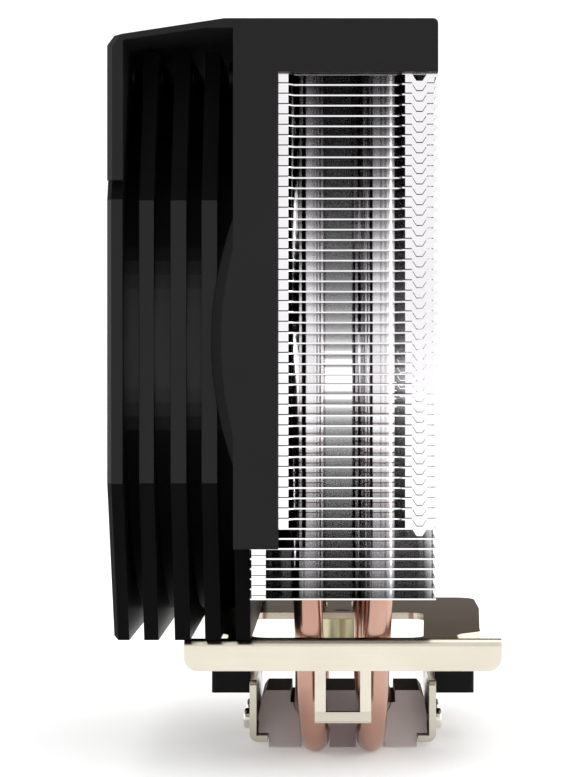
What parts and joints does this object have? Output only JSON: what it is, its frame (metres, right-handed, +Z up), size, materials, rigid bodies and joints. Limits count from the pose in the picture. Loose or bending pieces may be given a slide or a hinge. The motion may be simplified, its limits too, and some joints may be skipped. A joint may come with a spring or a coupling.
{
  "type": "cpu tower cooler",
  "caption": "Tower heat sink on nested copper heat pipes, with a ribbed axial fan in a hooded shroud and a sprung clip frame over its base.",
  "frame": {"origin": "centre of the base block's contact face, the face that meets the processor", "axes": "+Z up the fin stack away from the contact face, -X towards the fan, Y across the cooler along the contact pipes"},
  "size_m": [0.0785, 0.1224, 0.1495],
  "materials": {
    "base_aluminium": "fine brushed, grey",
    "copper": "polished copper",
    "nickel_plate": "nickel plated",
    "nickel_cream": "warm nickel plated, satin",
    "screw_steel": "plated",
    "screw_black": "black oxide",
    "ear_plastic": "black, satin",
    "insert_brass": "machined",
    "stud_brass": "olive brass, satin",
    "fin_aluminium": "bright rolled sheet",
    "fan_plastic": "near-black, fine texture",
    "impeller_plastic": "black, satin",
    "shroud_plastic": "charcoal, fine texture",
    "nylon": "natural nylon",
    "lamination_steel": "electrical steel",
    "winding_copper": "enamelled wire",
    "board": "green resist",
    "magnet": "ferrite-filled polymer"
  },
  "bodies": {
    "cooler": {"base_block": "base_aluminium", "outer_pipe_left": "copper", "outer_pipe_right": "copper", "inner_pipe_left": "copper", "inner_pipe_right": "copper", "side_plate_right": "nickel_plate", "side_plate_left": "nickel_plate", "side_plate_screws": "screw_steel", "mounting_ear_right": "ear_plastic", "mounting_ear_left": "ear_plastic", "ear_inserts": "insert_brass", "fins_lower": "fin_aluminium", "fins_upper": "fin_aluminium", "fan_frame": "fan_plastic", "fan_screws": "screw_black", "thrust_washer": "nylon", "bearing_sleeve": "insert_brass", "stator_core": "lamination_steel", "stator_coils": "winding_copper", "circuit_board": "board", "hall_sensor": "fan_plastic", "shroud": "shroud_plastic", "clip_springs": "screw_steel"},
    "rotor": {"impeller": "impeller_plastic", "rotor_yoke": "lamination_steel", "rotor_shaft": "screw_steel", "magnet_ring": "magnet", "shaft_clip": "nylon"},
    "clip": {"clip_frame": "nickel_cream", "frame_stud": "stud_brass", "guide_pins": "screw_steel", "pin_clips": "screw_steel"}
  },
  "joints": [
    {"name": "fan_spin", "type": "hinge", "parent": "cooler", "child": "rotor", "pos_m": [-0.033, 0, 0.0863], "axis": [1, 0, 0], "continuous": true},
    {"name": "clip_press", "type": "slide", "parent": "cooler", "child": "clip", "axis": [0, 0, 1], "range_m": [-0.0025, 0], "stiffness_N_per_m": 4000, "springref_m": 0.002, "deforming": ["clip_springs"]}
  ]
}
